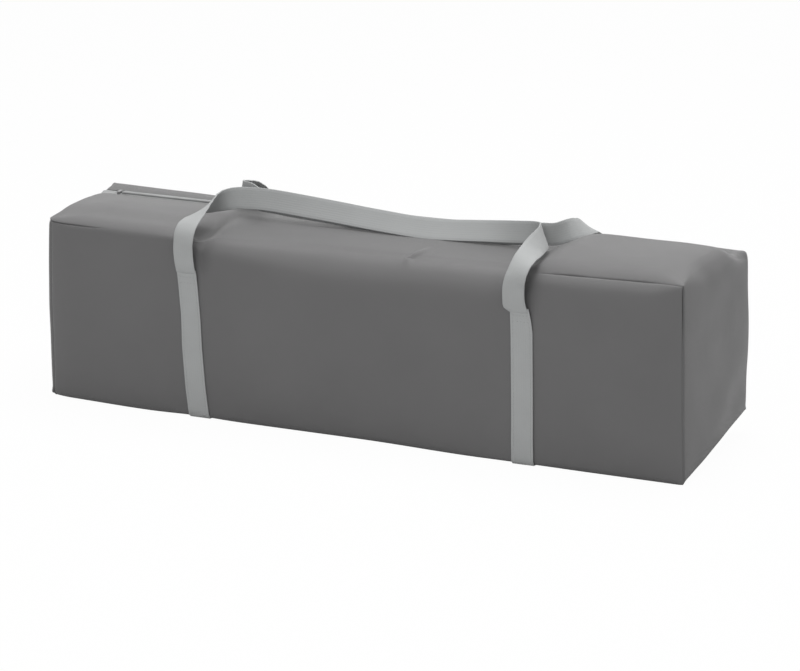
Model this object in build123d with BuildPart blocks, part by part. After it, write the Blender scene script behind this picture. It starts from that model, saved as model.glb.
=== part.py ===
from build123d import *
from math import cos, hypot, radians, sin, sqrt
import os

os.makedirs("parts", exist_ok=True)

# A folding playpen, folded and wrapped in its own mat, in its zipped carry bag.
# Millimetres. +X runs along the bag, +Y to its back and +Z up from the floor under it.

# Carry bag, cut to the folded pack with this much room round it
end_room = 15.5
side_room = 3.6
top_room = 5.6
bag_cloth = 1.5
bag_corner = 8
binding_width = 8
binding_cloth = 1.2

# Webbing that is sewn round the bag and leaves it as two carry handles
webbing_width = 25
webbing = 1.6
strap_spacing = 406
stitch_drop = 38.1
stitch_gap = 0.3
strap_fold = 1.2

# Upright band of each handle
band_inset = 13
band_from_middle = 4
band_over_top = 22
left_lift = 7
right_lift = -3
handle_clearance = 11

# Zip along the top, close to the back edge
zip_from_back = 36
zip_inset = 11
zip_slit = 11
tape_width = 13
tape = 0.7
tape_split = 3
coil_width = 3
coil_height = 2.4
coil_gap = 0.1
zip_end = 5
tape_overhang = 2
stop_length = 4
stop_gap = 0.6

# Zip slider and its pull tab
slider_length = 18
slider_tail = 8.4
slider_nose = 9.6
slider_plate = 1.1
slider_wall = 1
slider_play = 0.25
post_length = 3
post_width = 2.2
bail_length = 11
bail_rise = 3.9
bail_width = 2.2
bail_leg = 2.5
pull_length = 30
pull_width = 7.6
pull_plate = 1.6
pull_play = 0.5

# Playpen as it stands when it is open, outside its mouldings; half its long rails fold beside a post
playpen_length = 1200
playpen_width = 600
fold_room = 136

# Folded frame
tube_wall = 1
post_radius = 12.5
rail_radius = 8
rail_room = 1
rail_gap = 16
floor_gap = 20
tube_tail = 8
play = 0.3
rivet_radius = 2.5
rivet_fit = 0.1
rivet_head_radius = 4.2
rivet_head = 1.2

# Plastic mouldings of the frame
moulding = 46
moulding_corner = 9
moulding_dome = 6
corner_length = 68
foot_length = 60
socket_depth = 34
socket_fit = 0.1
pivot_inset = 18
ear = 4
ear_radius = 9
foot_ear_reach = 30
hub_radius = 12
hub_cap_radius = 36
hub_cap = 6
hub_cap_gap = 4
loop_length = 54
loop_width = 16

# Top rail latches
latch_side_room = 4.5
latch_web = 24
latch_corner = 5
button_length = 16
button_width = 22
button_height = 12
button_travel = 4
button_corner = 3
button_fit = 0.3

# Cloth walls, mat and mat ties
wall_cloth = 0.8
wall_end_room = 6
wall_inset = 1.5
pleat_depth = 6
pleat_pitch = 10
pleat_count = 11
pleat_radius = 1.4
mat = 13
mat_room = 30
mat_corner = 3
tie = 0.9
tie_width = 25
tie_inset = 135
pack_clearance = 0.4

# Sizes, levels and places that follow from the sizes above
playpen_height = playpen_length / 2 + fold_room
rail_offset = moulding / 2 + rail_radius + rail_room
rail_pitch = 2 * rail_radius + rail_gap
post_pitch = rail_pitch + 2 * rail_offset
floor_pitch = 2 * rail_radius + floor_gap
core_half = post_pitch / 2 + moulding / 2 + 1
bag_length = playpen_height + 2 * (end_room + bag_cloth)
bag_depth = 2 * core_half + 3 * mat + 2 * (tie + side_room + bag_cloth)
bag_height = 2 * core_half + 4 * mat + 2 * (tie + bag_cloth) + binding_cloth + pack_clearance + top_room
zip_length = bag_length - 2 * zip_inset
latch_width = post_pitch - 2 * (post_radius + latch_side_room)
wall_length = playpen_height - 2 * (corner_length + wall_end_room)
mat_length = playpen_width - mat_room
tie_spacing = mat_length - 2 * tie_inset
bag_top = webbing + bag_height
stitch_height = bag_top - stitch_drop
bag_middle = webbing + bag_height / 2
bag_edge = bag_depth / 2
strap_x = strap_spacing / 2
band_half_length = strap_x - band_inset
zip_y = bag_edge - zip_from_back
tape_top = bag_top - bag_cloth
coil_top = tape_top + coil_height
plate_top = coil_top + slider_play + slider_plate
slider_x = zip_length / 2 - zip_end - stop_length - stop_gap - slider_length / 2
frame_y = -mat / 2
pack_bottom = webbing + bag_cloth + binding_cloth + tie + pack_clearance
frame_z = pack_bottom + 2 * mat + core_half
top_end = playpen_height / 2
foot_end = -playpen_height / 2
top_pivot = top_end - corner_length + pivot_inset
foot_pivot = foot_end + foot_length - pivot_inset + play
latch_reach = (moulding + rail_pitch) / 2 + rail_offset
long_rail = playpen_length / 2 - latch_reach
short_rail = playpen_width / 2 - latch_reach
half_diagonal = hypot(playpen_length - moulding, playpen_width - moulding) / 2
floor_tube = half_diagonal - sqrt(2) * post_pitch / 2
tiers = {"lower": -1, "upper": 1}
rows = {"front": -1, "rear": 1}
ear_start = rail_radius + play
latch_height = 2 * (ear_start + ear)


def write(piece, name):
    piece.part.label = name
    export_step(piece.part, f"parts/{name}.step")


def across(x):
    # Upright plane across the pack at x, with its origin on the folded frame's axis
    return Plane(origin=(x, frame_y, frame_z), x_dir=(0, 1, 0), z_dir=(1, 0, 0))


def pivot_plane(x, y, z, inward):
    # Plane through a frame pivot: local x points inward and local z along the rivet
    lean = Vector(0, *inward)
    return Plane(origin=(x, frame_y + y, frame_z + z), x_dir=lean, z_dir=Vector(1, 0, 0).cross(lean))


def handle_run(lift):
    # One half of a carry handle, from the middle of its upright band down to the stitching:
    # place along the bag, place out from its middle, height over its top, lean off upright
    band = band_over_top + lift
    return [
        (band_half_length * 0.5, band_from_middle, band_over_top + lift * 0.5, 0),
        (band_half_length - 24, band_from_middle, band, 6),
        (band_half_length - 8, band_from_middle + 1.5, band, 18),
        (band_half_length - 2, band_from_middle + 6, band - 0.5, 25),
        (band_half_length, band_from_middle + 14, band - 1, 30),
        (strap_x - 9, bag_edge - 52, handle_clearance + 7 + lift * 0.6, 45),
        (strap_x - 4, bag_edge - 25, handle_clearance + 3, 72),
        (strap_x - 1, bag_edge - 8, handle_clearance, 88),
        (strap_x, bag_edge + 4, 0.5, 90),
        (strap_x, bag_edge + 2.5, -13, 90),
        (strap_x, bag_edge + 1.3, -30, 90),
        (strap_x, bag_edge + webbing / 2, stitch_height + stitch_gap - bag_top, 90),
    ]


def handle_sections(side):
    # Section planes along a whole handle, left stitching to right stitching
    places = []
    widths = []
    for end, lift in ((-1, left_lift), (1, right_lift)):
        run = handle_run(lift)
        if end < 0:
            run = run[::-1] + [(0, band_from_middle, band_over_top, 0)]
        for along, out, over, lean in run:
            places.append(Vector(end * along, side * out, bag_top + over))
            widths.append(Vector(-end * sin(radians(lean)), 0, cos(radians(lean))))
    last = len(places) - 1
    planes = []
    for i, place in enumerate(places):
        ahead = places[min(i + 1, last)] - places[max(i - 1, 0)]
        if i in (0, last):
            ahead = Vector(0, 0, ahead.Z)
        ahead = ahead.normalized()
        width = widths[i] - ahead * widths[i].dot(ahead)
        planes.append(Plane(origin=place, x_dir=width, z_dir=ahead))
    return planes


# Front and back panels of the bag, with the tape that binds each one's seam inside
for row, side in rows.items():
    outside = Plane.XZ.offset(-side * bag_edge)
    inside = Plane.XZ.offset(-side * (bag_edge - bag_cloth))
    with BuildPart() as panel:
        with BuildSketch(outside):
            with Locations((0, bag_middle)):
                RectangleRounded(bag_length, bag_height, bag_corner)
        extrude(amount=side * bag_cloth)
    write(panel, f"{row}_panel")

    with BuildPart() as binding:
        with BuildSketch(inside):
            with Locations((0, bag_middle)):
                RectangleRounded(
                    bag_length - 2 * bag_cloth,
                    bag_height - 2 * bag_cloth,
                    bag_corner - bag_cloth,
                )
                offset(amount=-binding_cloth, mode=Mode.SUBTRACT)
        extrude(amount=side * binding_width)
    write(binding, f"{row}_seam_binding")

# Boxing strip: one cloth that runs over the top, both ends and the bottom, slit for the zip
with BuildPart() as boxing_strip:
    with BuildSketch(Plane.XZ):
        with Locations((0, bag_middle)):
            RectangleRounded(bag_length, bag_height, bag_corner)
            offset(amount=-bag_cloth, mode=Mode.SUBTRACT)
    extrude(amount=bag_edge - bag_cloth, both=True)
    with BuildSketch(Plane.XY.offset(bag_top)):
        with Locations((0, zip_y)):
            RectangleRounded(zip_length, zip_slit, zip_slit / 4)
    extrude(amount=-2 * bag_cloth, mode=Mode.SUBTRACT)
write(boxing_strip, "boxing_strip")

# Zip tapes under the edges of the slit
for row, side in rows.items():
    with BuildPart() as zip_tape:
        with BuildSketch(Plane.XY.offset(tape_top)):
            with Locations((0, zip_y + side * (tape_split + tape_width) / 2)):
                Rectangle(zip_length + 2 * tape_overhang, tape_width)
        extrude(amount=-tape)
    write(zip_tape, f"zip_tape_{row}")

# Zip coils, one along each tape, up to the slider's post
coil_start = -zip_length / 2 + zip_end + stop_length + stop_gap
coil_end = slider_x + slider_length / 2 - post_length - 2 * slider_play - 1
with BuildPart() as zip_coils:
    with BuildSketch(Plane.YZ.offset(coil_start)):
        with Locations((zip_y, tape_top)):
            for side in (-1, 1):
                with Locations((side * (coil_gap + coil_width) / 2, coil_height / 2)):
                    RectangleRounded(coil_width, coil_height, coil_height / 4)
    extrude(amount=coil_end - coil_start)
write(zip_coils, "zip_coils")

# Zip stops: one clamped over both tapes at the left end, one on each tape at the right end
stop_centre = zip_length / 2 - zip_end - stop_length / 2
with BuildPart() as zip_stops:
    with BuildSketch(Plane.XY.offset(tape_top)):
        with Locations((-stop_centre, zip_y)):
            RectangleRounded(stop_length, 2 * coil_width + tape_split, 1)
        for side in (-1, 1):
            with Locations((stop_centre, zip_y + side * (tape_split + coil_width) / 2)):
                RectangleRounded(stop_length, coil_width, 1)
    extrude(amount=coil_height)
write(zip_stops, "zip_stops")

# Zip slider: two plates joined by a post, side walls round the coils, and a bail for the pull
slider_plane = Plane((slider_x, zip_y, 0))
half_slider = slider_length / 2
outline = [
    (-half_slider, -slider_tail / 2),
    (half_slider - 5, -slider_nose / 2),
    (half_slider, -slider_nose / 3),
    (half_slider, slider_nose / 3),
    (half_slider - 5, slider_nose / 2),
    (-half_slider, slider_tail / 2),
]
plate_levels = (coil_top + slider_play, tape_top - tape - slider_play - slider_plate)
with BuildPart() as zip_slider:
    for level in plate_levels:
        with BuildSketch(slider_plane.offset(level)):
            Polygon(*outline, align=None)
        extrude(amount=slider_plate)
    with BuildSketch(slider_plane.offset(coil_top + slider_play)):
        Polygon(*outline, align=None)
        offset(amount=-slider_wall, mode=Mode.SUBTRACT)
        with Locations((-half_slider, 0), (half_slider, 0)):
            Rectangle(2 * slider_wall + 1, 2 * coil_width + coil_gap + 2 * slider_play, mode=Mode.SUBTRACT)
    extrude(amount=-coil_height)
    with BuildSketch(slider_plane.offset(coil_top + slider_play)):
        with Locations((half_slider - post_length / 2 - 1, 0)):
            RectangleRounded(post_length, post_width, post_width / 3)
    extrude(until=Until.NEXT, dir=(0, 0, -1))
    with BuildSketch(Plane((slider_x, zip_y, plate_top), x_dir=(1, 0, 0), z_dir=(0, -1, 0))):
        Trapezoid(bail_length, bail_rise, 60, align=(Align.CENTER, Align.MIN))
        with Locations((0, 0)):
            Rectangle(
                bail_length - 2 * bail_leg,
                pull_plate + 2 * pull_play,
                align=(Align.CENTER, Align.MIN),
                mode=Mode.SUBTRACT,
            )
    extrude(amount=bail_width / 2, both=True)
write(zip_slider, "zip_slider")

# Zip pull: a tab whose cross bar runs through the bail
pull_level = plate_top + pull_play
window_length = bail_length / 2 + pull_play
with BuildPart() as zip_pull:
    with BuildSketch(slider_plane.offset(pull_level)):
        with Locations((pull_plate / 2, 0)):
            RectangleRounded(pull_length, pull_width, pull_width / 4, align=(Align.MAX, Align.CENTER))
        with Locations((-pull_plate / 2, 0)):
            Rectangle(
                window_length,
                bail_width + 2 * pull_play,
                align=(Align.MAX, Align.CENTER),
                mode=Mode.SUBTRACT,
            )
        with Locations((-pull_length + pull_width / 2 + pull_plate, 0)):
            Circle(pull_width / 5, mode=Mode.SUBTRACT)
    extrude(amount=pull_plate)
write(zip_pull, "zip_pull")

# Webbing sewn up the front, under the bottom and up the back
for name, side in (("left", -1), ("right", 1)):
    with BuildPart() as strap:
        with BuildSketch(Plane.YZ.offset(side * strap_x)):
            Rectangle(bag_depth + 2 * webbing, stitch_height, align=(Align.CENTER, Align.MIN))
            with Locations((0, webbing)):
                Rectangle(bag_depth, stitch_height, align=(Align.CENTER, Align.MIN), mode=Mode.SUBTRACT)
        extrude(amount=webbing_width / 2, both=True)
        fillet(strap.edges().filter_by(Axis.X).group_by(Axis.Z)[0], radius=strap_fold)
    write(strap, f"{name}_strap")

# Carry handles: the free webbing above the stitching, twisted into an upright band
for row, side in rows.items():
    sections = handle_sections(side)
    with BuildPart() as handle:
        for pair in zip(sections, sections[1:]):
            for plane in pair:
                with BuildSketch(plane):
                    Rectangle(webbing_width, webbing)
            loft(ruled=True)
    write(handle, f"{row}_handle")

# Folded frame, one corner of the playpen at a time
for row, side in rows.items():
    for tier, up in tiers.items():
        place = f"{row}_{tier}"
        centre = (side * post_pitch / 2, up * post_pitch / 2)
        long_pivot = (side * rail_pitch / 2, up * post_pitch / 2)
        short_pivot = (side * post_pitch / 2, up * rail_pitch / 2)
        floor_pivot = (side * floor_pitch / 2, up * floor_pitch / 2)
        towards_middle = (-side / sqrt(2), -up / sqrt(2))
        rail_ears = [
            pivot_plane(top_pivot, *long_pivot, (-side, 0)),
            pivot_plane(top_pivot, *short_pivot, (0, -up)),
        ]
        foot_ears = pivot_plane(foot_pivot, *floor_pivot, towards_middle)

        # Corner post
        post_start = foot_end + foot_length - socket_depth
        post_end = top_end - corner_length + socket_depth
        with BuildPart() as post:
            with BuildSketch(across(post_start)):
                with Locations(centre):
                    Circle(post_radius)
                    Circle(post_radius - tube_wall, mode=Mode.SUBTRACT)
            extrude(amount=post_end - post_start)
        write(post, f"post_{place}")

        # Top corner: a domed cap on the post with two pairs of ears for the top rails
        with BuildPart() as top_corner:
            with BuildSketch(across(top_end - corner_length)):
                with Locations(centre):
                    RectangleRounded(moulding, moulding, moulding_corner)
            extrude(amount=corner_length)
            fillet(top_corner.faces().sort_by(Axis.X)[-1].edges(), radius=moulding_dome)
            for plane in rail_ears:
                for level in (-1, 1):
                    with BuildSketch(plane.offset(level * ear_start)):
                        with Locations((-rail_offset / 2, 0)):
                            SlotCenterToCenter(rail_offset, 2 * ear_radius)
                    extrude(amount=level * ear)
            with BuildSketch(across(top_end - corner_length)):
                with Locations(centre):
                    Circle(post_radius + socket_fit)
            extrude(amount=socket_depth, mode=Mode.SUBTRACT)
            for plane in rail_ears:
                with BuildSketch(plane):
                    Circle(rivet_radius + rivet_fit)
                extrude(amount=ear_start + 2 * ear, both=True, mode=Mode.SUBTRACT)
        write(top_corner, f"top_corner_{place}")

        # Foot: a block under the post with one pair of ears for the floor tube
        with BuildPart() as foot:
            with BuildSketch(across(foot_end)):
                with Locations(centre):
                    RectangleRounded(moulding, moulding, moulding_corner)
            extrude(amount=foot_length)
            chamfer(foot.faces().sort_by(Axis.X)[0].edges(), length=moulding_dome / 2)
            for level in (-1, 1):
                with BuildSketch(foot_ears.offset(level * ear_start)):
                    with Locations((-foot_ear_reach / 2, 0)):
                        SlotCenterToCenter(foot_ear_reach, 2 * ear_radius)
                extrude(amount=level * ear)
            with BuildSketch(across(foot_end + foot_length)):
                with Locations(centre):
                    Circle(post_radius + socket_fit)
            extrude(amount=-socket_depth, mode=Mode.SUBTRACT)
            with BuildSketch(foot_ears):
                Circle(rivet_radius + rivet_fit)
            extrude(amount=ear_start + 2 * ear, both=True, mode=Mode.SUBTRACT)
        write(foot, f"foot_{place}")

        # Half rails of the long and short sides, and the floor tube, with a rivet hole at each end
        latch_x = {"long_rail": top_pivot - long_rail, "short_rail": top_pivot - short_rail}
        tubes = [
            ("long_rail", latch_x["long_rail"], long_rail, long_pivot, rail_ears[0]),
            ("short_rail", latch_x["short_rail"], short_rail, short_pivot, rail_ears[1]),
            ("floor_tube", foot_pivot, floor_tube, floor_pivot, foot_ears),
        ]
        for name, start, length, spot, ears in tubes:
            with BuildPart() as tube:
                with BuildSketch(across(start - tube_tail)):
                    with Locations(spot):
                        Circle(rail_radius)
                        Circle(rail_radius - tube_wall, mode=Mode.SUBTRACT)
                extrude(amount=length + 2 * tube_tail)
                for x in (start, start + length):
                    hole = (x, frame_y + spot[0], frame_z + spot[1])
                    with BuildSketch(Plane(origin=hole, z_dir=ears.z_dir)):
                        Circle(rivet_radius + rivet_fit)
                    extrude(amount=2 * rail_radius, both=True, mode=Mode.SUBTRACT)
            write(tube, f"{name}_{place}")

# Latches where two half rails meet: a forked housing and the sprung button in its web
web_start = -hypot(tube_tail, rail_radius) - 1
latches = [
    ("long_latch_lower", top_pivot - long_rail, (0, -1)),
    ("long_latch_upper", top_pivot - long_rail, (0, 1)),
    ("short_latch_front", top_pivot - short_rail, (-1, 0)),
    ("short_latch_rear", top_pivot - short_rail, (1, 0)),
]
button_seat = -latch_height / 2
for name, x, outward in latches:
    spot = (x, frame_y + outward[0] * post_pitch / 2, frame_z + outward[1] * post_pitch / 2)
    plane = Plane(origin=spot, x_dir=(1, 0, 0), z_dir=Vector(0, *outward))
    with BuildPart() as latch:
        with BuildSketch(plane.offset(button_seat)):
            with Locations((web_start - latch_web, 0)):
                RectangleRounded(
                    latch_web - web_start + ear_radius,
                    latch_width,
                    latch_corner,
                    align=(Align.MIN, Align.CENTER),
                )
        extrude(amount=latch_height)
        with BuildSketch(plane.offset(-ear_start)):
            with Locations((web_start, 0)):
                Rectangle(ear_radius - 2 * web_start, 2 * latch_width, align=(Align.MIN, Align.CENTER))
        extrude(amount=2 * ear_start, mode=Mode.SUBTRACT)
        with BuildSketch(plane.offset(button_seat)):
            with Locations((0, -rail_pitch / 2), (0, rail_pitch / 2)):
                Circle(rivet_radius + rivet_fit)
        extrude(amount=latch_height, mode=Mode.SUBTRACT)
        with BuildSketch(plane.offset(button_seat)):
            with Locations((web_start - latch_web / 2, 0)):
                RectangleRounded(
                    button_length + 2 * button_fit,
                    button_width + 2 * button_fit,
                    button_corner,
                )
        extrude(amount=button_height + 1, mode=Mode.SUBTRACT)
    write(latch, name)

    with BuildPart() as button:
        with BuildSketch(plane.offset(button_seat - button_travel)):
            with Locations((web_start - latch_web / 2, 0)):
                RectangleRounded(button_length, button_width, button_corner)
        extrude(amount=button_height)
        face = button.faces().sort_by(Axis((0, 0, 0), Vector(0, *outward)))[0]
        chamfer(face.edges(), length=button_fit * 4)
    write(button, name.replace("latch", "latch_button"))

# Floor hub: four pairs of ears on a core, under a round cap
hub_pivot = foot_pivot + floor_tube
hub_ears = [
    pivot_plane(hub_pivot, s * floor_pitch / 2, u * floor_pitch / 2, (s / sqrt(2), u / sqrt(2)))
    for s in rows.values()
    for u in tiers.values()
]
hub_reach = sqrt(2) * floor_pitch / 2
cap_start = hub_pivot + tube_tail + hub_cap_gap
with BuildPart() as floor_hub:
    with BuildSketch(across(hub_pivot - ear_radius)):
        Circle(hub_radius)
    extrude(amount=cap_start - hub_pivot + ear_radius)
    with BuildSketch(across(cap_start)):
        Circle(hub_cap_radius)
    extrude(amount=hub_cap)
    chamfer(floor_hub.faces().sort_by(Axis.X)[-1].edges(), length=hub_cap / 3)
    for plane in hub_ears:
        for level in (-1, 1):
            with BuildSketch(plane.offset(level * ear_start)):
                with Locations((-hub_reach / 2, 0)):
                    SlotCenterToCenter(hub_reach, 2 * ear_radius)
            extrude(amount=level * ear)
    for plane in hub_ears:
        with BuildSketch(plane):
            Circle(rivet_radius + rivet_fit)
        extrude(amount=ear_start + 2 * ear, both=True, mode=Mode.SUBTRACT)
write(floor_hub, "floor_hub")

# Pull loop on the hub, which lifts the floor to fold the frame
loop_start = cap_start + hub_cap
with BuildPart() as pull_loop:
    with BuildSketch(Plane.XY.offset(frame_z)):
        with Locations((loop_start, frame_y)):
            Rectangle(loop_length - loop_width / 2, loop_width, align=(Align.MIN, Align.CENTER))
        with Locations((loop_start + loop_length - loop_width / 2, frame_y)):
            Circle(loop_width / 2)
        with Locations((loop_start, frame_y)):
            Rectangle(
                loop_length - loop_width / 2,
                loop_width - 2 * webbing,
                align=(Align.MIN, Align.CENTER),
                mode=Mode.SUBTRACT,
            )
        with Locations((loop_start + loop_length - loop_width / 2, frame_y)):
            Circle(loop_width / 2 - webbing, mode=Mode.SUBTRACT)
    extrude(amount=webbing_width / 2, both=True)
write(pull_loop, "pull_loop")

# Rivets through every pivot of the frame, in one group
rivet_planes = list(hub_ears)
for s in rows.values():
    for u in tiers.values():
        long_pivot = (s * rail_pitch / 2, u * post_pitch / 2)
        short_pivot = (s * post_pitch / 2, u * rail_pitch / 2)
        floor_pivot = (s * floor_pitch / 2, u * floor_pitch / 2)
        for end in (top_pivot, top_pivot - long_rail):
            rivet_planes.append(pivot_plane(end, *long_pivot, (-s, 0)))
        for end in (top_pivot, top_pivot - short_rail):
            rivet_planes.append(pivot_plane(end, *short_pivot, (0, -u)))
        rivet_planes.append(pivot_plane(foot_pivot, *floor_pivot, (-s / sqrt(2), -u / sqrt(2))))
rivet_reach = ear_start + ear
with BuildPart() as pivot_rivets:
    for plane in rivet_planes:
        with BuildSketch(plane):
            Circle(rivet_radius)
        extrude(amount=rivet_reach, both=True)
        for level in (-1, 1):
            with BuildSketch(plane.offset(level * rivet_reach)):
                Circle(rivet_head_radius)
            extrude(amount=level * rivet_head)
write(pivot_rivets, "pivot_rivets")

# Cloth side walls, gathered in pleats round the folded frame
pleat_floor = core_half - wall_inset - pleat_depth - wall_cloth
pleat_points = [
    ((i - pleat_count / 2) * pleat_pitch, pleat_floor + pleat_depth * (i % 2))
    for i in range(pleat_count + 1)
]
with BuildPart() as side_walls:
    for along in ((0, 1, 0), (0, 0, 1), (0, -1, 0), (0, 0, -1)):
        with BuildSketch(Plane(origin=across(-wall_length / 2).origin, x_dir=along, z_dir=(1, 0, 0))):
            with BuildLine():
                FilletPolyline(*pleat_points, radius=pleat_radius)
            trace(line_width=wall_cloth)
    extrude(amount=wall_length)
write(side_walls, "side_walls")

# Mat: seven hinged panels wrapped round the frame, from under it and up the back
inner = core_half
outer = core_half + mat
full = core_half + 2 * mat
mat_panels = [
    (-inner, inner, -outer, -inner),
    (inner, outer, -outer, inner),
    (-inner, outer, inner, outer),
    (-outer, -inner, -outer, outer),
    (-outer, outer, -full, -outer),
    (outer, full, -full, outer),
    (-outer, full, outer, full),
]
for number, (y0, y1, z0, z1) in enumerate(mat_panels, start=1):
    with BuildPart() as mat_panel:
        with BuildSketch(across(-mat_length / 2)):
            with Locations(((y0 + y1) / 2, (z0 + z1) / 2)):
                RectangleRounded(y1 - y0, z1 - z0, mat_corner)
        extrude(amount=mat_length)
        chamfer(mat_panel.faces().filter_by(Axis.X).edges(), length=mat_corner / 2)
    write(mat_panel, f"mat_panel_{number}")

# Two ties that hold the mat closed round the pack
with BuildPart() as mat_ties:
    for x in (-tie_spacing / 2, tie_spacing / 2):
        with BuildSketch(across(x)):
            with Locations((mat / 2, 0)):
                RectangleRounded(outer + full + 2 * tie, 2 * full + 2 * tie, mat_corner)
                Rectangle(outer + full, 2 * full, mode=Mode.SUBTRACT)
        extrude(amount=tie_width / 2, both=True)
write(mat_ties, "mat_ties")
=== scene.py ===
import bpy
import bmesh
import math
from types import SimpleNamespace
from mathutils import Matrix, Vector, noise


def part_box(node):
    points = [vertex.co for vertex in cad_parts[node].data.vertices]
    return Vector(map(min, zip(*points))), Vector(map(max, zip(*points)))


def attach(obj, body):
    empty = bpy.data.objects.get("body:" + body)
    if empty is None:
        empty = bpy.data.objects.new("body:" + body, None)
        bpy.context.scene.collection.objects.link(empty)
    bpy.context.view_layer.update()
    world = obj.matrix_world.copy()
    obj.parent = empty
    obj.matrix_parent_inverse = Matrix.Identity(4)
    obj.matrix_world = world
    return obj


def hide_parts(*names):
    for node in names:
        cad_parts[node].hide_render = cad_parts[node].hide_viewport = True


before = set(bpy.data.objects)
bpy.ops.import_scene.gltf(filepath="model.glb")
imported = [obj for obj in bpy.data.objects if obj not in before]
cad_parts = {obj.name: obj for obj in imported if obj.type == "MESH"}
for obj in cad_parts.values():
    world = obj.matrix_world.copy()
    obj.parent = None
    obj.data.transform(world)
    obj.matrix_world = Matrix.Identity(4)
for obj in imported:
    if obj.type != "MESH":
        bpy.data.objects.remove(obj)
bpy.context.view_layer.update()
print("frame loaded")

mm = 0.001


# Finishes

weaveLook = {
    "wave": 0.314,              # wave scale of a thread, times its pitch in metres
    "uneven": 0.7, "fibres": 1400.0,
    "patchShare": 0.62, "threadShare": 0.22, "fibreShare": 0.12,    # what makes the tone uneven
    "toneStops": (0.2, 0.7), "crumpleDepth": 0.004, "reliefDepth": 0.0003,
}
grainLook = {
    "patches": 35.0, "grainShare": 0.35, "toneStops": (0.45, 0.9), "toneShares": (0.86, 1.12), "reliefDepth": 0.0002,
}
patchRange = (0.3, 0.7)     # lowest and highest level of the patches that the roughness follows


def addNode(tree, kind, inputs=None, **settings):
    made = tree.nodes.new("ShaderNode" + kind)
    for key, value in settings.items():
        setattr(made, key, value)
    for key, value in (inputs or {}).items():
        if isinstance(value, bpy.types.NodeSocket):
            tree.links.new(value, made.inputs[key])
        else:
            made.inputs[key].default_value = value
    return made


def addMath(tree, operation, *values):
    return addNode(tree, "Math", dict(enumerate(values)), operation=operation).outputs[0]


def addTones(tree, shader, source, tone, stops, shares):
    ramp = addNode(tree, "ValToRGB", {"Fac": source})
    for mark, place, share in zip(ramp.color_ramp.elements, stops, shares):
        mark.position = place
        mark.color = (*(channel * share for channel in tone), 1.0)
    tree.links.new(ramp.outputs["Color"], shader.inputs["Base Color"])


def addThreads(tree, coords, pitch, direction):
    sockets = {"Vector": coords.outputs["UV"], "Scale": weaveLook["wave"] / pitch,
               "Distortion": weaveLook["uneven"], "Detail": 1.0}
    return addNode(tree, "TexWave", sockets, bands_direction=direction).outputs["Fac"]


def addNoise(tree, coords, scale, detail):
    sockets = {"Vector": coords.outputs["Object"], "Scale": scale, "Detail": detail}
    return addNode(tree, "TexNoise", sockets).outputs["Fac"]


def addRoughness(tree, shader, patches, rough):
    sockets = {"Value": patches, "From Min": patchRange[0], "From Max": patchRange[1],
               "To Min": rough[0], "To Max": rough[1]}
    tree.links.new(addNode(tree, "MapRange", sockets).outputs[0], shader.inputs["Roughness"])


def startFinish(name, **sockets):
    finish = bpy.data.materials.new(name)
    finish.use_nodes = True
    shader = finish.node_tree.nodes["Principled BSDF"]
    for key, value in sockets.items():
        shader.inputs[key.replace("_", " ")].default_value = value
    return finish, finish.node_tree, shader


def wovenFinish(name, look):
    finish, tree, shader = startFinish(name, Specular_IOR_Level=look["gloss"], Sheen_Weight=look["sheen"],
                                       Sheen_Roughness=look["sheenSpread"])
    coords = addNode(tree, "TexCoord")
    warp = addThreads(tree, coords, look["warp"], "X")
    weft = addThreads(tree, coords, look["weft"], "Y")
    weave = addMath(tree, "MULTIPLY", warp, weft)
    patches = addNoise(tree, coords, look["patches"], 4.0)
    fibres = addNoise(tree, coords, weaveLook["fibres"], 2.0)
    uneven = addMath(tree, "MULTIPLY", patches, weaveLook["patchShare"])
    uneven = addMath(tree, "MULTIPLY_ADD", weave, weaveLook["threadShare"], uneven)
    uneven = addMath(tree, "MULTIPLY_ADD", fibres, weaveLook["fibreShare"], uneven)
    shares = (1 - look["spread"], 1 + look["spread"])
    addTones(tree, shader, uneven, look["tone"], weaveLook["toneStops"], shares)
    addRoughness(tree, shader, patches, look["rough"])
    crumple = addNode(tree, "Bump", {"Height": patches, "Strength": look["crumple"],
                                     "Distance": weaveLook["crumpleDepth"]})
    relief = addNode(tree, "Bump", {"Height": weave, "Strength": look["relief"],
                                    "Distance": weaveLook["reliefDepth"], "Normal": crumple.outputs["Normal"]})
    tree.links.new(relief.outputs["Normal"], shader.inputs["Normal"])
    return finish


def hardFinish(name, look):
    finish, tree, shader = startFinish(name, Metallic=look["metal"], Specular_IOR_Level=look["gloss"])
    coords = addNode(tree, "TexCoord")
    patches = addNoise(tree, coords, grainLook["patches"], 5.0)
    grain = addNoise(tree, coords, look["grain"], 3.0)
    uneven = addMath(tree, "MULTIPLY_ADD", grain, grainLook["grainShare"], patches)
    addTones(tree, shader, uneven, look["tone"], grainLook["toneStops"], grainLook["toneShares"])
    addRoughness(tree, shader, patches, look["rough"])
    relief = addNode(tree, "Bump", {"Height": grain, "Strength": look["relief"], "Distance": grainLook["reliefDepth"]})
    tree.links.new(relief.outputs["Normal"], shader.inputs["Normal"])
    return finish


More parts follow.
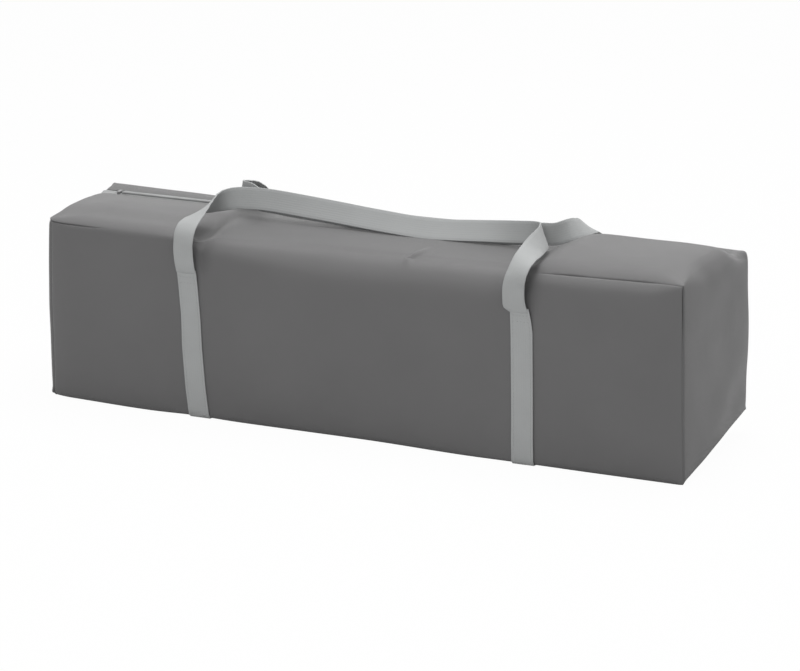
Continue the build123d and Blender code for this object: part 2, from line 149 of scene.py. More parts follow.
clothLook = {       # where a woven finish says nothing else
    "spread": 0.1, "gloss": 0.3, "sheen": 0.2, "sheenSpread": 0.4, "rough": (0.6, 0.75), "crumple": 0.03, "relief": 0.6,
}
wovenLooks = {
    "bagCloth": {"tone": (0.108, 0.107, 0.108), "spread": 0.07, "warp": 0.0007, "weft": 0.0007, "patches": 16.0,
                 "gloss": 0.45, "sheen": 0.25, "sheenSpread": 0.35, "rough": (0.46, 0.58), "crumple": 0.10,
                 "relief": 0.35},
    "webbing": {"tone": (0.320, 0.328, 0.328), "spread": 0.05, "warp": 0.0026, "weft": 0.0013, "patches": 40.0,
                "gloss": 0.35, "rough": (0.55, 0.7), "relief": 0.3},
    "bindingTape": {"tone": (0.11, 0.11, 0.112), "warp": 0.0012, "weft": 0.0012, "patches": 40.0},
    "zipTape": {"tone": (0.33, 0.335, 0.335), "spread": 0.08, "warp": 0.0011, "weft": 0.0008, "patches": 60.0,
                "crumple": 0.02},
    "stitchThread": {"tone": (0.30, 0.305, 0.305), "warp": 0.0005, "weft": 0.0005, "patches": 90.0,
                     "gloss": 0.35, "sheen": 0.1, "rough": (0.5, 0.65), "crumple": 0.02, "relief": 0.5},
    "matCover": {"tone": (0.20, 0.205, 0.22), "spread": 0.08, "warp": 0.0009, "weft": 0.0009, "patches": 25.0,
                 "sheen": 0.3, "crumple": 0.08, "relief": 0.5},
    "wallMesh": {"tone": (0.42, 0.43, 0.44), "spread": 0.12, "warp": 0.0022, "weft": 0.0022, "patches": 25.0,
                 "rough": (0.55, 0.7), "crumple": 0.05, "relief": 1.0},
}
wovenLooks["seamThread"] = {**wovenLooks["stitchThread"], "tone": (0.10, 0.10, 0.102)}
plasticLook = {"metal": 0.0, "gloss": 0.5}     # where a hard finish says nothing else
hardLooks = {
    "zipCoil": {"tone": (0.40, 0.405, 0.405), "grain": 900.0, "rough": (0.35, 0.5), "relief": 0.1},
    "zipMetal": {"tone": (0.33, 0.33, 0.335), "metal": 0.85, "grain": 1200.0, "rough": (0.3, 0.45), "relief": 0.15},
    "frameTube": {"tone": (0.42, 0.425, 0.43), "metal": 0.3, "grain": 1500.0, "rough": (0.35, 0.5), "relief": 0.2},
    "moulding": {"tone": (0.05, 0.05, 0.053), "gloss": 0.45, "grain": 1100.0, "rough": (0.45, 0.6), "relief": 0.5},
    "latchButton": {"tone": (0.20, 0.205, 0.21), "grain": 1100.0, "rough": (0.35, 0.5), "relief": 0.3},
    "rivetSteel": {"tone": (0.55, 0.55, 0.56), "metal": 1.0, "grain": 1400.0, "rough": (0.25, 0.4), "relief": 0.2},
}
finishes = {name: wovenFinish(name, {**clothLook, **look}) for name, look in wovenLooks.items()}
finishes.update({name: hardFinish(name, {**plasticLook, **look}) for name, look in hardLooks.items()})
print("finishes made")


# Steps that the pieces share

def addObject(name, data):
    made = bpy.data.objects.new(name, data)
    bpy.context.scene.collection.objects.link(made)
    return made


def addShape(name, bm, finish):
    mesh = bpy.data.meshes.new(name)
    bm.to_mesh(mesh)
    bm.free()
    mesh.materials.append(finish)
    return addObject(name, mesh)


def keepPiece(bm, name, finish, body, nodes=()):
    piece = addShape(name, bm, finishes[finish])
    for face in piece.data.polygons:
        face.use_smooth = True
    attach(piece, body)
    if nodes:
        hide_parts(*nodes)
    return piece


def thicken(piece, thick, rounding=0.0, offset=0.0):
    wall = piece.modifiers.new("thickness", "SOLIDIFY")
    wall.thickness = thick
    wall.offset = offset
    if rounding:
        edge = piece.modifiers.new("edge", "BEVEL")
        edge.width = rounding
        edge.segments = 2
        edge.limit_method = "ANGLE"
        edge.angle_limit = math.radians(50)


def addSkin(piece):
    skin = piece.modifiers.new("skin", "SUBSURF")
    skin.levels = 1
    skin.render_levels = 1


def repeatAlong(piece, pitch, count):
    rows = piece.modifiers.new("rows", "ARRAY")
    rows.use_relative_offset = False
    rows.use_constant_offset = True
    rows.constant_offset_displace = (pitch, 0, 0)
    rows.count = count


def smoothStep(zone, value):
    # 0 before the zone, 1 after it
    low, high = zone
    share = min(1.0, max(0.0, (value - low) / (high - low)))
    return share * share * (3 - 2 * share)


def bump(value, middle, halfWidth):
    return math.exp(-((value - middle) / halfWidth) ** 2)


def mixed(a, b, share):
    return a + (b - a) * share


def spacing(low, high, step, fine, margin):
    # Places for cuts between low and high, closer together within the margin at both ends
    places = []
    at = low
    while at < high - 1e-6:
        edge = min(at - low, high - at)
        at += fine + (step - fine) * smoothStep((0.0, margin), edge)
        if at < high - fine * 0.6:
            places.append(at)
    return places


def cutAcross(bm, axis, places):
    normal = Vector((0, 0, 0))
    normal[axis] = 1
    for place in places:
        everything = bm.verts[:] + bm.edges[:] + bm.faces[:]
        bmesh.ops.bisect_plane(bm, geom=everything, plane_co=normal * place, plane_no=normal, dist=1e-6)


def makeBlock(size, middle):
    bm = bmesh.new()
    bmesh.ops.create_cube(bm, size=1.0)
    bmesh.ops.scale(bm, vec=size, verts=bm.verts)
    bmesh.ops.translate(bm, vec=middle, verts=bm.verts)
    return bm


# The bag's cloth, in metres. A zone is where a change starts and where it is full, as a share of the bag's size.

bag = {
    "length": 0.770, "depth": 0.195, "low": 0.0016, "high": 0.2096, "cloth": 0.0011,
    "zipY": 0.0615, "zipEnds": (-0.3815, 0.372), "slit": 0.006,
    "core": 0.02,               # depth of the inner box from which the ways out of the bag are taken
    "strapZone": (0.46, 0.58), "cornerZone": (0.9, 1.0), "lastZone": (0.85, 1.0), "faceZone": (0.8, 1.0),
    # rounding of the long front top edge, from left to right
    "foldMiddle": (0.018, 0.031), "foldMiddleZone": (-0.48, -0.1), "foldSides": (0.010, 0.017), "foldCorner": 0.0035,
    "foldReach": (2.0, 1.6),    # how much longer that rounding is along the top than down the front, at both sides
    "foldTurn": (0.2, 0.78, 0.5),   # how far up that rounding the seam lies: left, middle, right
    "foldWander": 0.08, "foldWaves": 34, "foldWanderZone": (0.5, 0.6),  # how the seam strays right of the right strap
    "liftEnd": 0.008, "liftFade": 1.3,  # how far in front of the zip the lifted front ends, and how it fades
    # rounding of the other edges
    "backFold": 0.005, "leftEnd": 0.008, "rightEnd": (0.021, 0.014), "rightEndZone": (0.5, 1.0),
    "frontCorner": 0.003, "frontCornerZone": (0.0, 0.35),
    "leftSide": 0.007, "leftSideTurn": 0.9, "rightSide": 0.0025, "backSides": (0.006, 0.013),
    "lowSides": 0.004, "lowEnds": 0.006,
    # how far each corner has been pulled along and up by packing, in mm: left/right, front/back, low/high
    "pull": {(-1, -1, -1): (-0.4, 2.6), (-1, -1, 1): (4.8, -1.2), (1, -1, -1): (-4.2, -0.3),
             (1, -1, 1): (-11.5, 10.6), (1, 1, -1): (7.6, 27.0), (1, 1, 1): (5.4, 0.0),
             (-1, 1, 1): (-9.7, 0.0), (-1, 1, -1): (-6.0, 8.0)},
    "lowPullZone": (0.78, 1.0),
    # how far the contents push the sides out
    "frontBulge": 0.0025, "leftBulge": 0.004, "rightBulge": 0.0022, "backBulge": 0.003,
    "leftSpread": 0.5,          # share of the left bulge that reaches further along the bag
    "strapX": 0.198, "strapHold": (0.017, 0.050),   # from where to where beside a strap the cloth comes free
    # how far back the front's left edge and its lower edge lie
    "leftTurnIn": 0.006, "turnInStart": 0.92, "turnInZone": (0.6, 1.0),
    "foot": (0.0045, -0.002), "footTurn": (0.0, 0.4), "footZone": (0.4, 1.0),   # at the left and at the right
    "strapFoot": 0.003, "strapFootPlace": (0.199, 0.03),    # how far out the lower edge is under the right strap
    # swell of the top in front of the zip, right of the right strap
    "crown": 0.0182, "crownZone": (0.47, 0.61), "crownDrop": 0.12, "crownReach": 0.71, "ridgeZone": (0.41, 0.545),
    "shutZone": (0.945, 0.985),     # the closed top beyond the zip's right end
    "zipDip": 0.0046, "zipDipWidth": 0.017,     # room for the turned zip pull in the swollen right end
    "leftCrown": 0.004, "leftCrownZone": (-1.0, -0.3), "leftCrownFall": (0.0, 0.55),
    "leftRise": 0.0036, "leftRiseFall": (-0.5, 0.25),       # lift of the top's left end, towards the front
    # the top's rear edge
    "backZone": (0.76, 0.97), "backRise": 0.0010, "backRiseZone": (0.50, 0.58), "backRiseDrop": 0.45,
    "backSag": 0.0033, "backSagZone": (-1.0, -0.55), "backSagFall": (0.2, 0.5),
    "baseSag": 0.85, "strapBase": (0.2, 0.035),     # how near the floor the bottom comes between the straps
    "lip": (0.0017, 0.0010), "lipEnd": 0.018,   # how far the cloth dips to the zip, in front of it and behind it
    # ripples of the cloth: scale and share of the broad and of the narrow ones
    "ripple": 0.0015, "swelling": 0.0010, "broadWaves": (9.0, 0.9), "narrowWaves": (21.0, 0.45),
    "zipCalm": (0.012, 0.03),       # from where to where beside the zip the ripples set in
    "topStart": 0.98, "baseEnd": 0.02,
    "foldFade": (0.15, 0.85),
    "folds": [
        # start, end, half width, height
        ((-0.385, -0.060, 0.205), (-0.300, -0.0975, 0.180), 0.012, -0.0015),
        ((0.385, -0.060, 0.150), (0.385, 0.080, 0.175), 0.022, -0.0022),
        ((0.385, -0.030, 0.030), (0.385, 0.090, 0.110), 0.025, 0.0018),
        ((0.060, -0.0975, 0.196), (0.180, -0.0975, 0.200), 0.012, 0.0012),
        ((-0.200, -0.012, 0.2096), (-0.196, -0.088, 0.2096), 0.0115, -0.017),
        ((-0.190, -0.0975, 0.209), (-0.1905, -0.0975, 0.165), 0.007, -0.007),
        ((0.2035, -0.0975, 0.210), (0.2045, -0.0975, 0.160), 0.0075, -0.008),
        ((0.194, -0.025, 0.2096), (0.202, -0.070, 0.2096), 0.010, -0.009),
        ((0.182, 0.034, 0.2096), (0.192, 0.000, 0.2096), 0.011, -0.008),
        ((0.0610, -0.0975, 0.207), (0.0720, -0.0550, 0.2096), 0.0042, 0.0046),
    ],
}
halfLength = bag["length"] / 2
halfDepth = bag["depth"] / 2
zipY = bag["zipY"]


def inZone(zone, value):
    return smoothStep(bag[zone], value)


def roundOff(a, b, radius, middle=0.5):
    # Brings a point that lies a and b under two faces onto the rounding between them
    if a >= radius or b >= radius:
        return a, b
    along = (a - b) / radius
    turn = (middle + along * (middle if along < 0 else 1 - middle)) * math.pi / 2
    return radius - radius * math.cos(turn), radius - radius * math.sin(turn)


def outward(point):
    core = bag["core"]
    half = Vector((halfLength - core, halfDepth - core, (bag["high"] - bag["low"]) / 2 - core))
    middle = (bag["low"] + bag["high"]) / 2
    local = Vector((point.x, point.y, point.z - middle))
    inside = Vector([max(-h, min(h, c)) for c, h in zip(local, half)])
    away = local - inside
    return away.normalized() if away.length > 1e-6 else Vector((0, 0, 1))


def sharesOf(point):
    # How far along, across and up the bag a point lies, from 0 to 1, and as u, v and w from -1 to 1
    along = (point.x + halfLength) / bag["length"]
    across = (point.y + halfDepth) / bag["depth"]
    height = (point.z - bag["low"]) / (bag["high"] - bag["low"])
    return SimpleNamespace(along=along, across=across, height=height,
                           u=2 * along - 1, v=2 * across - 1, w=2 * height - 1)


def foldAt(x):
    # Rounding of the front top edge at a place along the bag, and how much longer it is along the top
    u = x / halfLength
    aside = inZone("strapZone", abs(u))
    side = int(x > 0)
    middle = mixed(*bag["foldMiddle"], inZone("foldMiddleZone", u))
    return mixed(middle, bag["foldSides"][side], aside), mixed(1.0, bag["foldReach"][side], aside)


def turnAt(x, u):
    # How far up that rounding the seam lies
    inner, outer = bag["strapZone"]
    atLeft, atMiddle, atRight = bag["foldTurn"]
    wander = bag["foldWander"] * noise.noise(Vector((x * bag["foldWaves"], 0, 4)))
    wander *= inZone("foldWanderZone", u) * (1 - inZone("cornerZone", u))
    turned = mixed(atLeft, atMiddle, smoothStep((-outer, -inner), u)) + wander
    return mixed(turned, atRight, inZone("strapZone", u))


def roundEdges(point, at):
    # Place of a point with all edges rounded and the front seam lifted, and how much that lift counts there
    left, right = point.x + halfLength, halfLength - point.x
    front, back = point.y + halfDepth, halfDepth - point.y
    low, high = point.z - bag["low"], bag["high"] - point.z
    fold, reach = foldAt(point.x)
    fold = mixed(fold, bag["foldCorner"], inZone("cornerZone", abs(at.u)))
    turned = turnAt(point.x, at.u)
    fromCorner = inZone("frontCornerZone", at.across)
    rightEnd = mixed(*bag["rightEnd"], inZone("rightEndZone", at.across))
    left, high = roundOff(left, high, mixed(bag["frontCorner"], bag["leftEnd"], fromCorner))
    right, high = roundOff(right, high, mixed(bag["frontCorner"], rightEnd, fromCorner))
    front, high = roundOff(front / reach, high, fold, turned)
    front *= reach
    back, high = roundOff(back, high, bag["backFold"])
    left, front = roundOff(left, front, bag["leftSide"], bag["leftSideTurn"])
    right, front = roundOff(right, front, bag["rightSide"])
    left, back = roundOff(left, back, bag["backSides"][0])
    right, back = roundOff(right, back, bag["backSides"][1])
    left, low = roundOff(left, low, bag["lowEnds"])
    right, low = roundOff(right, low, bag["lowEnds"])
    front, low = roundOff(front, low, bag["lowSides"])
    back, low = roundOff(back, low, bag["lowSides"])
    x = left - halfLength if point.x < 0 else halfLength - right
    y = front - halfDepth if point.y < 0 else halfDepth - back
    z = bag["low"] + low if at.height < 0.5 else bag["high"] - high
    lift = fold * (1 - math.sin(turned * math.pi / 2)) * inZone("strapZone", abs(at.u))
    toZip = max(0.0, 1 - front / (zipY + halfDepth - bag["liftEnd"])) ** bag["liftFade"]
    return x, y, z + lift * toZip * at.height ** 3, toZip


def packingPull(at, toZip):
    # How far the pulled corners move a place along the bag and up
    moveX = moveZ = 0.0
    shares = (at.along, at.across, at.height)
    for corner, (pullX, pullZ) in bag["pull"].items():
        nearX, nearY, nearZ = (share if side > 0 else 1 - share for side, share in zip(corner, shares))
        moveX += nearX * nearY * nearZ * pullX * mm
        if corner[2] < 0:
            moveZ += inZone("lowPullZone", nearX) ** 1.5 * nearY * nearZ ** 2 * pullZ * mm
        elif corner[1] < 0:
            moveZ += nearX ** 2 * toZip * nearZ ** 3 * pullZ * mm
    return moveX, moveZ


def bulgeOf(point, at, free):
    # How far the sides bulge along and across the bag, with the front's set-back edges
    pillowX = (1 - at.v ** 4) * (1 - at.w ** 4)
    pillowY = (1 - at.u ** 4) * (1 - at.w ** 2) * free
    leftShare = inZone("cornerZone", -at.u) + bag["leftSpread"] * max(0, -at.u) ** 8
    moveX = pillowX * (bag["rightBulge"] * inZone("cornerZone", at.u) - bag["leftBulge"] * leftShare)
    moveY = bag["backBulge"] * pillowY * inZone("faceZone", at.v)
    moveY -= bag["frontBulge"] * pillowY * inZone("faceZone", -at.v)
    start = bag["turnInStart"]
    turnIn = max(0.0, (-at.u - start) / (1 - start)) ** 2
    moveY += bag["leftTurnIn"] * turnIn * inZone("turnInZone", -at.v)
    foot = mixed(*bag["foot"], inZone("footTurn", at.u))
    foot -= bag["strapFoot"] * bump(point.x, *bag["strapFootPlace"])
    moveY += foot * (1 - at.height) ** 2 * inZone("footZone", -at.v)
    return moveX, moveY


def riseOf(point, at):
    # How far the top swells, dips and sags, and how far the bottom sags between the straps
    u, v = at.u, at.v
    last = inZone("lastZone", u)
    swell = inZone("crownZone", u) * (1 - bag["crownDrop"] * last)
    shut = inZone("shutZone", u)
    ridgeStart = bag["ridgeZone"][0]
    fall = min(1.0, max(0.0, (v - ridgeStart) / (1 - ridgeStart)))
    ridge = mixed(1 - inZone("ridgeZone", v), 0.5 + 0.5 * math.cos(math.pi * fall), shut)
    dome = (1 - (1 - min(1.0, at.across / bag["crownReach"])) ** 3) * ridge
    rise = bag["crown"] * swell * dome
    rise -= bag["zipDip"] * shut * bump(point.y, zipY, bag["zipDipWidth"])
    leftDome = inZone("leftCrownZone", v) * (1 - inZone("leftCrownFall", v))
    rise += bag["leftCrown"] * leftDome * (1 - swell)
    rise += bag["leftRise"] * (1 - at.along) ** 4 * (1 - inZone("leftRiseFall", v))
    backEdge = bag["backRise"] * inZone("backRiseZone", u) * (1 - bag["backRiseDrop"] * last)
    backEdge -= bag["backSag"] * inZone("backSagZone", u) * (1 - inZone("backSagFall", u))
    rise += backEdge * inZone("backZone", v)
    rise *= at.height ** 3
    rise -= bag["low"] * bag["baseSag"] * (1 - bump(abs(point.x), *bag["strapBase"])) * (1 - at.height) ** 2
    if at.height > bag["topStart"]:
        beside = abs(point.y - zipY)
        lip = bag["lip"][point.y > zipY]
        rise -= lip * (1 - smoothStep((bag["slit"], bag["lipEnd"]), beside)) * (1 - shut)
    return rise


def rippleOf(point, at, free):
    # How far ripples and folds push the cloth out
    if at.height < bag["baseEnd"]:
        return 0.0
    calm = inZone("zipCalm", abs(point.y - zipY)) if at.height > bag["topStart"] else 1.0
    broad, broadShare = bag["broadWaves"]
    narrow, narrowShare = bag["narrowWaves"]
    waves = noise.noise(point * broad) * broadShare + noise.noise(point * narrow + Vector((5, 1, 2))) * narrowShare
    push = (bag["ripple"] * waves + bag["swelling"]) * calm * free
    for start, end, halfWidth, rise in bag["folds"]:
        start, end = Vector(start), Vector(end)
        run = end - start
        share = min(1.0, max(0.0, (point - start).dot(run) / run.length_squared))
        gap = (point - start - run * share).length
        push += rise * math.sin(math.pi * mixed(*bag["foldFade"], share)) * bump(gap, 0, halfWidth)
    return push


def settle(point):
    # A point of the flat-sided bag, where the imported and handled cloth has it
    at = sharesOf(point)
    free = inZone("strapHold", abs(abs(point.x) - bag["strapX"]))
    x, y, z, toZip = roundEdges(point, at)
    pullX, pullZ = packingPull(at, toZip)
    bulgeX, bulgeY = bulgeOf(point, at, free)
    packed = Vector((x + pullX + bulgeX, y + bulgeY, z + pullZ + riseOf(point, at)))
    return packed + outward(point) * rippleOf(point, at, free)


cutLook = {
    "step": 0.011, "depthStep": 0.009, "fine": 0.0028, "edge": 0.0012,
    "margins": (0.05, 0.04, 0.045),     # how far in from the edges the cuts are closer: along, across, up
    "creases": [0.0555 + 0.0025 * k for k in range(9)],     # closer cuts at the small fold on the front top edge
    "zipReach": 0.028, "frontLines": (0.027, 0.022, 0.017, 0.012, 0.0085), "rearLines": (0.0085, 0.012, 0.017, 0.023),
    "backLines": (0.0085, 0.0055, 0.0028),
}


def cutBox():
    low, high = bag["low"], bag["high"]
    bm = makeBlock((bag["length"], bag["depth"], high - low), (0, 0, (low + high) / 2))
    step, fine, edge = cutLook["step"], cutLook["fine"], cutLook["edge"]
    marginX, marginY, marginZ = cutLook["margins"]
    cutsX = spacing(-halfLength, halfLength, step, fine, marginX) + list(bag["zipEnds"]) + cutLook["creases"]
    cutsY = spacing(-halfDepth, zipY - cutLook["zipReach"], cutLook["depthStep"], fine, marginY)
    cutsY += [zipY - away for away in (*cutLook["frontLines"], bag["slit"])]
    cutsY += [zipY + away for away in (bag["slit"], *cutLook["rearLines"])]
    cutsY += [halfDepth - away for away in cutLook["backLines"]]
    cutsZ = spacing(low, high, step, fine, marginZ)
    ends = ((-halfLength, halfLength), (-halfDepth, halfDepth), (low, high))
    for axis, places in enumerate((cutsX, cutsY, cutsZ)):
        places += [ends[axis][0] + edge, ends[axis][1] - edge]
        cutAcross(bm, axis, sorted({round(place, 5) for place in places}))
    return bm


def clothOf(point, normal):
    # Which of the three cloths a face of the box belongs to
    if normal.y < -0.5:
        return "front"
    if normal.y > 0.5:
        return "back"
    start, end = bag["zipEnds"]
    if normal.z > 0.5 and start < point.x < end and abs(point.y - zipY) < bag["slit"]:
        return "slit"
    return "boxing"


seamLook = {
    "flange": 0.0035,
    # depth of the groove, and the heights or places along the bag between which it sets in
    "plain": 0.0006, "rearEnds": 0.0008, "leftEnd": 0.0028, "rightEnd": (0.0009, 0.0024), "rightEndRise": (0.14, 0.195),
    "pit": 0.002, "pitRise": (0.200, 0.2096), "topLeft": 0.0022, "topLeftZone": (0.30, 0.35),
    "topRight": 0.0011, "topRightZone": (0.21, 0.25), "topRightUneven": 0.0016, "topRightWaves": 26,
    "endWidth": 0.001, "topStart": 0.2,
}


def seamDepth(spot):
    # How deep the groove is in which two cloths meet
    if abs(spot.x) > halfLength - seamLook["endWidth"]:
        if spot.y > 0:
            return seamLook["rearEnds"]
        if spot.x < 0:
            return seamLook["leftEnd"] + seamLook["pit"] * smoothStep(seamLook["pitRise"], spot.z)
        return mixed(*seamLook["rightEnd"], smoothStep(seamLook["rightEndRise"], spot.z))
    if spot.z > seamLook["topStart"] and spot.y < 0:
        uneven = seamLook["topRightUneven"] * noise.noise(Vector((spot.x * seamLook["topRightWaves"], 1, 0)))
        right = smoothStep(seamLook["topRightZone"], spot.x) * (seamLook["topRight"] + uneven)
        return right + smoothStep(seamLook["topLeftZone"], -spot.x) * seamLook["topLeft"]
    return seamLook["plain"]


def sewCloth(box, name, cloth, node):
    bm = box.copy()
    bm.normal_update()
    spare = [f for f in bm.faces if clothOf(f.calc_center_median(), f.normal) != cloth]
    bmesh.ops.delete(bm, geom=spare, context="FACES")
    sheet = bm.loops.layers.uv.new("cloth")
    for face in bm.faces:
        for loop in face.loops:
            at = loop.vert.co
            loop[sheet].uv = (at.x, at.z) if cloth != "boxing" else (at.y, at.x + at.z)
    crease = bm.edges.layers.float.new("crease_edge")
    rim = []
    for edge in bm.edges:
        if edge.is_boundary:
            edge[crease] = 1.0
            middle = (edge.verts[0].co + edge.verts[1].co) / 2
            if abs(abs(middle.y) - halfDepth) < 1e-4:
                rim.append(edge)
    sewn = {v for edge in rim for v in edge.verts}
    grown = bmesh.ops.extrude_edge_only(bm, edges=rim)
    tucked = {g for g in grown["geom"] if isinstance(g, bmesh.types.BMVert)}
    for v in bm.verts:
        depth = seamDepth(v.co) if v in sewn or v in tucked else 0.0
        if v in tucked:
            depth += seamLook["flange"]
        v.co = settle(v.co) - outward(v.co) * depth
    for edge in rim:
        edge.smooth = False
    bmesh.ops.recalc_face_normals(bm, faces=bm.faces)
    bm.normal_update()
    if sum(f.normal.dot(outward(f.calc_center_median())) * f.calc_area() for f in bm.faces) < 0:
        bmesh.ops.reverse_faces(bm, faces=bm.faces)
    piece = keepPiece(bm, name, "bagCloth", "bag", [node])
    thicken(piece, bag["cloth"], offset=-1.0)
    addSkin(piece)


box = cutBox()
print("bag cut:", len(box.faces), "faces")
sewCloth(box, "front_cloth", "front", "front_panel")
sewCloth(box, "back_cloth", "back", "rear_panel")
sewCloth(box, "boxing_cloth", "boxing", "boxing_strip")
box.free()
print("bag sewn")


# Webbing straps and carry handles

def runThrough(stations, share):
    # Smooth run through stations of (place, width direction), at a share of its length
    lengths = [0.0]
    for (a, _), (b, _) in zip(stations, stations[1:]):
        lengths.append(lengths[-1] + (b - a).length)
    at = share * lengths[-1]
    index = 0
    while index < len(stations) - 2 and lengths[index + 1] < at:
        index += 1
    t = (at - lengths[index]) / max(1e-9, lengths[index + 1] - lengths[index])
    near = [stations[max(0, min(len(stations) - 1, index + k))] for k in (-1, 0, 1, 2)]
    weights = (
        -0.5 * t + t * t - 0.5 * t ** 3,
        1 - 2.5 * t * t + 1.5 * t ** 3,
        0.5 * t + 2 * t * t - 1.5 * t ** 3,
        -0.5 * t * t + 0.5 * t ** 3,
    )
    place = sum((s[0] * k for s, k in zip(near, weights)), Vector())
    width = near[1][1].lerp(near[2][1], t * t * (3 - 2 * t)).normalized()
    return place, width * mixed(near[1][1].length, near[2][1].length, t), lengths[-1]


def headingAt(stations, share, reach):
    ahead = runThrough(stations, min(1.0, share + reach))[0]
    behind = runThrough(stations, max(0.0, share - reach))[0]
    return (ahead - behind).normalized()


def squareTo(width, ahead):
    return (width - ahead * width.dot(ahead)).normalized()


ribbonLook = {"reach": 0.004, "waves": 18, "rounding": 0.28}   # share of the run, per metre, share of the thickness


def weaveRibbon(name, stations, look, finish, body, nodes=(), closed=False):
    length = runThrough(stations, 0.5)[2]
    bm = bmesh.new()
    sheet = bm.loops.layers.uv.new("cloth")
    bmesh.ops.create_grid(bm, x_segments=look["across"], y_segments=max(4, round(length / look["step"])), size=0.5)
    for face in bm.faces:
        for loop in face.loops:
            loop[sheet].uv = (loop.vert.co.x * look["width"], loop.vert.co.y * length)
    for v in bm.verts:
        share = v.co.y + 0.5
        side = v.co.x
        place, width, _ = runThrough(stations, share)
        ahead = headingAt(stations, share, ribbonLook["reach"])
        if look.get("square", True):
            width = squareTo(width, ahead) * width.length
        cup = width.cross(ahead) * look.get("cup", 0.0) * (1 - 4 * side * side)
        spot = Vector((share * length * ribbonLook["waves"], side * 0.7, len(name)))
        wander = noise.noise(spot) * look.get("wander", 0.0)
        v.co = place + width * (side * look["width"] + wander) + cup
    if closed:
        bmesh.ops.remove_doubles(bm, verts=bm.verts, dist=1e-5)
    bmesh.ops.recalc_face_normals(bm, faces=bm.faces)
    piece = keepPiece(bm, name, finish, body, nodes)
    thicken(piece, look["thick"], rounding=look["thick"] * ribbonLook["rounding"])


strapLook = {
    "width": 0.025, "thick": 0.0016, "step": 0.006, "across": 6, "wander": 0.0003, "top": 0.1715,
    "lift": 0.0002, "legSteps": 14, "baseSteps": 10,
    # share of the height up to the stitching, place along the bag in mm, share of the full width
    "left": [(0, -192.9, 1), (0.2, -196.2, 1), (0.5, -198.9, 0.99), (0.7, -199.3, 0.95), (0.9, -201.5, 0.94),
             (1, -203.5, 0.93)],
    "right": [(0, 199.6, 1), (0.15, 198.4, 1), (0.5, 197.1, 1), (0.88, 194.9, 1), (0.94, 193.4, 0.93),
              (1, 191.8, 0.84)],
}


def between(knots, at):
    for (a, *low), (b, *high) in zip(knots, knots[1:]):
        if at <= b:
            return [mixed(l, h, (at - a) / (b - a)) for l, h in zip(low, high)]
    return knots[-1][1:]


def strapStations(knots):
    # Down the front, under the bag and up the back
    top, low = strapLook["top"], bag["low"]
    legs, base = strapLook["legSteps"], strapLook["baseSteps"]
    path = [(-halfDepth, top - k * (top - low) / legs) for k in range(legs + 1)]
    path += [(-halfDepth + k * bag["depth"] / base, low) for k in range(1, base)]
    path += [(halfDepth, low + k * (top - low) / legs) for k in range(legs + 1)]
    stations = []
    for y, z in path:
        along, full = between(knots, (z - low) / (top - low))
        spot = Vector((along * mm, y, z))
        place = settle(spot) + outward(spot) * (strapLook["thick"] * 0.5 + strapLook["lift"])
        place.z = max(place.z, strapLook["thick"] / 2)
        place.x = spot.x
        stations.append((place, Vector((full, 0, 0))))
    return stations


strapRuns = {}
for side in ("left", "right"):
    strapRuns[side] = strapStations(strapLook[side])
    weaveRibbon(side + "_webbing", strapRuns[side], strapLook, "webbing", "bag", [side + "_strap"])

